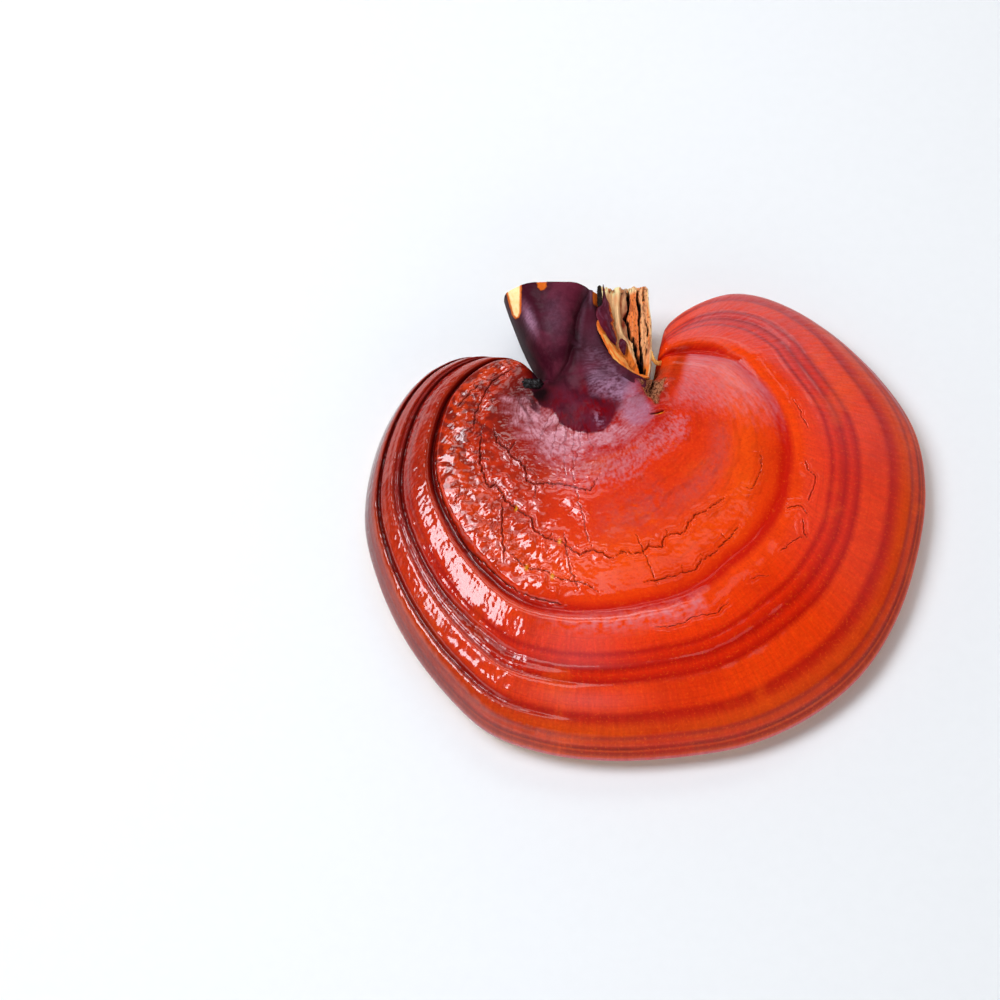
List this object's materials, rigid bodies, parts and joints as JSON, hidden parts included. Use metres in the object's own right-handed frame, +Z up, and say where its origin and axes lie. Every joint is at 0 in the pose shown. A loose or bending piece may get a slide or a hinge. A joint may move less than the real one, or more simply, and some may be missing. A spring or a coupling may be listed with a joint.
{
  "type": "reishi mushroom",
  "caption": "Kidney-shaped, glossy red-orange bracket mushroom with growth rings, lying on its flat pore face, with a dark lacquered side stem and a strip of torn pale wood beside it.",
  "frame": {"origin": "on the ground under the middle of the object's bounding box", "axes": "+X towards the cap's right lobe, +Y the way the stem points out of the notch, +Z up from the pore face"},
  "size_m": [0.1499, 0.1346, 0.0326],
  "materials": {
    "cap_lacquer": "gloss",
    "stem_lacquer": "gloss",
    "split_wood": "rough"
  },
  "bodies": {
    "root": {"cap": "cap_lacquer", "stem": "stem_lacquer", "split_wood": "split_wood"}
  },
  "joints": []
}
